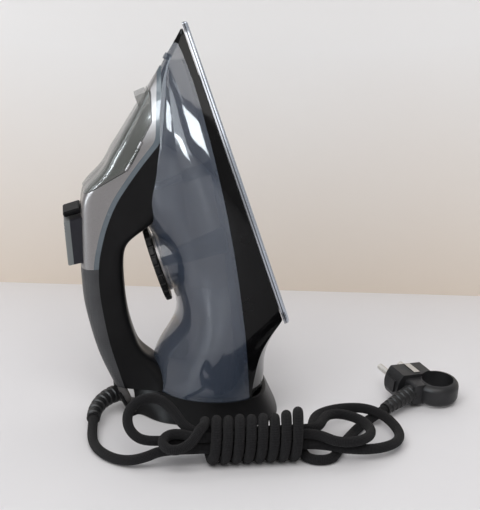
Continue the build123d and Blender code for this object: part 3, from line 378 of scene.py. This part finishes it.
def moulded(name, colour, rough, grain, coat=0.0, shine=0.5):
    """Moulded plastic: flow marks in the colour, handling marks in the gloss and a fine moulded grain."""
    look = Look(name)
    look.set(Coat_Weight=coat, Coat_Roughness=0.04, Specular_IOR_Level=shine)
    dark_gain, light_gain, light_lift = 0.82, 1.16, 0.001
    lighter = tuple(min(1.0, c * light_gain + light_lift) for c in colour)
    look.clouds(scale=45, detail=5, darker=shade(colour, dark_gain), lighter=lighter)
    look.rough(look.noise(scale=210, detail=6, rough=0.65), *rough)
    look.bump(look.noise(scale=2600, detail=3), strength=grain, distance=0.00012)
    return look


def smoke(name, colour, cover, rough):
    """See-through smoke plastic; cover is the share of light that each of a wall's two faces holds back."""
    look = Look(name)
    look.set(Alpha=cover, IOR=1.5, Coat_Weight=0.8, Coat_IOR=1.5, Coat_Roughness=0.02)
    look.clouds(scale=30, detail=4, darker=shade(colour, 0.85), lighter=colour)
    look.rough(look.noise(scale=160, detail=5), *rough)
    look.bump(look.noise(scale=60, detail=2), strength=0.015, distance=0.0006)
    return look


def metal(name, colour, rough):
    """Plain metal with cloudy gloss."""
    look = Look(name).set(Metallic=1.0)
    look.clouds(scale=120, detail=5, darker=shade(colour, 0.8), lighter=colour)
    look.rough(look.noise(scale=400, detail=5), *rough)
    look.bump(look.noise(scale=900), strength=0.08, distance=0.0001)
    return look


black_gloss = moulded(
    "black_gloss", (0.003, 0.003, 0.0034), rough=(0.05, 0.12), grain=0.03, coat=0.08, shine=0.12,
)
satin_black = moulded("satin_black", (0.0045, 0.0045, 0.005), rough=(0.28, 0.4), grain=0.1, shine=0.14)
lever_black = moulded("lever_black", (0.0025, 0.0025, 0.003), rough=(0.34, 0.48), grain=0.1, shine=0.06)
dark_plastic = moulded("dark_plastic", (0.025, 0.025, 0.028), rough=(0.3, 0.5), grain=0.15)
pale_plastic = moulded("pale_plastic", (0.6, 0.59, 0.56), rough=(0.35, 0.55), grain=0.15)
trim_grey = moulded("trim_grey", (0.085, 0.11, 0.132), rough=(0.2, 0.32), grain=0.1, coat=0.5)
dial_black = moulded("dial_plastic", (0.005, 0.005, 0.0055), rough=(0.3, 0.42), grain=0.08, shine=0.18)
plug_plastic = moulded("plug_plastic", (0.015, 0.0152, 0.0168), rough=(0.34, 0.48), grain=0.4, shine=0.35)
black_rubber = moulded("black_rubber", (0.012, 0.012, 0.013), rough=(0.34, 0.5), grain=0.25, shine=0.4)
nozzle_grey = moulded("nozzle_grey", (0.16, 0.18, 0.21), rough=(0.3, 0.45), grain=0.1)

tank_smoke = smoke("smoke_tank", (0.058, 0.075, 0.11), cover=0.6, rough=(0.05, 0.12))
door_smoke = smoke("smoke_door", (0.13, 0.14, 0.132), cover=0.54, rough=(0.08, 0.16))

sheet_steel = metal("sheet_steel", (0.55, 0.55, 0.56), rough=(0.25, 0.42))
pin_metal = metal("pin_metal", (0.72, 0.71, 0.68), rough=(0.12, 0.26))
cast_aluminium = metal("cast_aluminium", (0.6, 0.6, 0.61), rough=(0.4, 0.6))
element_sheath = metal("element_sheath", (0.28, 0.26, 0.25), rough=(0.35, 0.55))

# Metallic paint of the cover round the controls
silver = Look("silver_plastic").set(Metallic=0.6, Coat_Weight=0.4, Coat_Roughness=0.14)
silver.clouds(scale=3800, detail=2, darker=(0.185, 0.179, 0.18), lighter=(0.265, 0.256, 0.258), edge=0.35)
silver.rough(silver.noise(scale=180, detail=5), low=0.26, high=0.38)
silver.bump(silver.noise(scale=5200, detail=2), strength=0.05, distance=0.0001)

# Soft grip with fine raised dots
grip = Look("soft_grip").set(Sheen_Weight=0.15, Sheen_Roughness=0.5)
dots = grip.node("ShaderNodeTexVoronoi", feature="F1")
dots.inputs["Scale"].default_value = 620
dots.inputs["Randomness"].default_value = 0.15
grip.link(grip.here, dots.inputs["Vector"])
dot_height = grip.span(dots.outputs["Distance"], low=1.0, high=0.0, start=0.1, end=0.5)
grip.clouds(scale=90, detail=4, darker=(0.019, 0.0195, 0.0225), lighter=(0.031, 0.032, 0.036))
grip.rough(grip.noise(scale=300), low=0.5, high=0.68)
grip.bump(dot_height, strength=0.5, distance=0.0003)

# Polished soleplate with fine lines along its length and a dark line round its edge, between its back and
# its face as measured along its normal
sole_tilt = radians(18)
sole_back, sole_face = 0.09595, 0.09995
sole = Look("sole_metal").set(Metallic=0.75)
sole_axes = sole.axes()
from_z = sole.math("MULTIPLY", sole_axes["Z"], sin(sole_tilt))
from_x = sole.math("MULTIPLY", sole_axes["X"], cos(sole_tilt))
depth = sole.span(sole.math("ADD", from_z, from_x), low=1.0, high=0.0, start=sole_back, end=sole_face)
bright, dark, pale = (0.47, 0.51, 0.58), (0.06, 0.065, 0.075), (0.4, 0.42, 0.46)
sole.colour(sole.ramp(depth, [(0.5, bright), (0.56, dark), (0.7, dark), (0.76, pale)]))
lines = sole.stretched((60, 60, 1), (0, -sole_tilt, 0))
sole.rough(sole.noise(scale=60, detail=6, vector=lines), low=0.16, high=0.34)
sole.bump(sole.noise(scale=55, vector=lines), strength=0.06, distance=0.0001)

# Buttons: a pale front cap over dark sides, parted by a plane that leans a little
cap_lean = 0.07
cap_front, cap_back = -0.0672, -0.0668
cap_colour, side_colour = (0.15, 0.163, 0.167), (0.008, 0.008, 0.013)
buttons = Look("button_plastic").set(Specular_IOR_Level=0.3)
button_axes = buttons.axes()
lean = buttons.math("MULTIPLY", button_axes["Z"], cap_lean)
from_front = buttons.math("ADD", button_axes["X"], lean)
behind_cap = buttons.span(from_front, low=0.0, high=1.0, start=cap_front, end=cap_back)
buttons.colour(buttons.ramp(behind_cap, [(0.2, cap_colour), (0.8, side_colour)]))
buttons.rough(buttons.noise(scale=220, detail=5), low=0.28, high=0.42)
buttons.bump(buttons.noise(scale=2600, detail=3), strength=0.1, distance=0.0001)

# Braided textile round the cord, its hollows painted darker than its crowns as painted shade
threads = 12
cord_girth = pi * cord_diameter / 1000
shaded_hollow, crown = (0.0018, 0.0018, 0.0021), (0.0155, 0.015, 0.017)
textile = Look("cord_textile")
textile.set(Sheen_Weight=0.04, Sheen_Roughness=0.5, Roughness=0.9, Specular_IOR_Level=0.15)
weave = textile.axes("UV")
across = textile.math("MULTIPLY", weave["X"], 2 * pi * threads)
along = textile.math("MULTIPLY", weave["Y"], 2 * pi * threads / cord_girth)
one_way = textile.math("SINE", textile.math("ADD", across, along))
other_way = textile.math("SINE", textile.math("SUBTRACT", across, along))
crossing = textile.math("MULTIPLY", one_way, other_way)
braid = textile.span(crossing, low=0.0, high=1.0, start=-1.0, end=1.0)
# Painted shade: the colour darkens into the braid's hollows, where its bump dips
textile.colour(textile.ramp(braid, [(0.15, shaded_hollow), (0.8, crown)]))
textile.bump(braid, strength=0.9, distance=0.0006)

cord.data.materials.append(textile.material)
for spring in springs:
    spring.data.materials.append(sheet_steel.material)
dress(sole, "soleplate")
dress(black_gloss, "skirt")
dress(satin_black, "handle_core", "heel_cover")
dress(lever_black, "steam_lever")
dress(tank_smoke, "tank_shell")
dress(door_smoke, "filler_door")
dress(dark_plastic, "tank_base", "dial_shaft", "cord_clamp")
dress(silver, "control_panel", "dial_bezel", "filler_tray")
dress(dial_black, "temperature_dial")
dress(grip, "handle_grip")
dress(trim_grey, "trim_strip")
dress(buttons, "burst_button", "spray_button")
dress(pale_plastic, "burst_pump", "spray_pump", "terminal_block", "thermal_fuse")
dress(sheet_steel, "steam_chamber_cover", "thermostat", "door_hinge_pin", "steam_valve_rod", "heel_screws")
dress(cast_aluminium, "heater_casting")
dress(element_sheath, "heating_element")
dress(nozzle_grey, "spray_nozzle")
dress(black_rubber, "cord_sleeve", "plug_sleeve")
dress(plug_plastic, "plug_body")
dress(pin_metal, "plug_pins", "plug_earth_clips")


def paint(name):
    """Flat paint with cloudy gloss and a faint grain, still without its colour."""
    look = Look(name)
    look.rough(look.noise(scale=40), low=0.5, high=0.65)
    look.bump(look.noise(scale=400, detail=3), strength=0.02, distance=0.0003)
    return look


def sheet(name, corners, look):
    """Flat sheet through its corners."""
    data = bpy.data.meshes.new(name)
    data.from_pydata(corners, [], [tuple(range(len(corners)))])
    data.materials.append(look.material)
    new_object(name, data)


# Pale table
table_reach = 3
table_colour = (0.74, 0.74, 0.765)
table_paint = paint("table_paint")
table_paint.clouds(scale=3, detail=4, darker=shade(table_colour, 0.97), lighter=table_colour)
sheet("floor", [
    (-table_reach, -table_reach, 0), (table_reach, -table_reach, 0),
    (table_reach, table_reach, 0), (-table_reach, table_reach, 0),
], table_paint)

# Wall, with painted shade that makes it warmer and darker near the table
wall_left, wall_right = (-1.5, 0.563), (1.5, -0.019)
wall_height = 3
painted_shade_height = 0.3
shaded_foot_colour, wall_top = (0.69, 0.61, 0.53), (0.83, 0.83, 0.835)
wall_paint = paint("wall_paint")
uneven = wall_paint.span(wall_paint.noise(scale=3, detail=3), low=-0.03, high=0.03)
height = wall_paint.math("ADD", wall_paint.axes()["Z"], uneven)
# Painted shade: the wall's colour darkens and warms over its lowest stretch, above the table
painted_shade = wall_paint.span(height, low=0.0, high=1.0, start=0.0, end=painted_shade_height)
wall_paint.colour(wall_paint.ramp(painted_shade, [(0.0, shaded_foot_colour), (0.75, wall_top)]))

# The wall shows only its front, so that it hides nothing from behind
facing = wall_paint.node("ShaderNodeNewGeometry")
clear = wall_paint.node("ShaderNodeBsdfTransparent")
one_sided = wall_paint.node("ShaderNodeMixShader")
wall_paint.link(facing.outputs["Backfacing"], one_sided.inputs[0])
wall_paint.link(wall_paint.shader.outputs[0], one_sided.inputs[1])
wall_paint.link(clear.outputs[0], one_sided.inputs[2])
wall_paint.link(one_sided.outputs[0], wall_paint.tree.nodes["Material Output"].inputs["Surface"])
sheet("wall", [
    (*wall_left, 0), (*wall_right, 0), (*wall_right, wall_height), (*wall_left, wall_height),
], wall_paint)

# Light: one soft lamp overhead, and lamps that show in gloss alone and stand for windows and a room
middle = (0.03, 0.0, 0.13)
tank_top = (0.01, -0.03, 0.21)
warm_white = (1.0, 0.98, 0.96)
daylight = (0.88, 0.95, 1.0)
sky_strength = 0.4


def lamp(name, place, target, size, power, colour, gloss_only=False):
    """Rectangular soft light that faces its target."""
    data = bpy.data.lights.new(name, "AREA")
    data.shape = "RECTANGLE"
    data.size, data.size_y = size
    data.energy = power
    data.color = colour
    made = new_object(name, data)
    made.location = place
    made.rotation_euler = (Vector(target) - Vector(place)).to_track_quat("-Z", "Y").to_euler()
    made.visible_camera = False
    made.visible_diffuse = not gloss_only


def gloss_lamp(name, azimuth, elevation, distance, size, power):
    """Lamp for gloss alone, in a direction from the top of the tank; negative azimuths are to its left."""
    turn, lift = radians(azimuth), radians(elevation)
    level = distance * cos(lift)
    step = (level * sin(turn), -level * cos(turn), distance * sin(lift))
    lamp(name, Vector(tank_top) + Vector(step), tank_top, size, power, daylight, gloss_only=True)


lamp("overhead", (-0.45, -1.45, 1.95), middle, size=(2.4, 1.8), power=43, colour=warm_white)
gloss_lamp("window_left", azimuth=-62, elevation=-4.5, distance=1, size=(0.105, 0.157), power=1.11)
gloss_lamp("window_right", azimuth=-40, elevation=14, distance=2, size=(0.5, 0.5), power=17)
gloss_lamp("room_left", azimuth=-66, elevation=12, distance=2, size=(0.78, 1.46), power=17)
scene.world = scene.world or bpy.data.worlds.new("world")
scene.world.use_nodes = True
sky = scene.world.node_tree.nodes["Background"]
sky.inputs["Color"].default_value = (*warm_white, 1)
sky.inputs["Strength"].default_value = sky_strength
scene.view_settings.view_transform = "Standard"
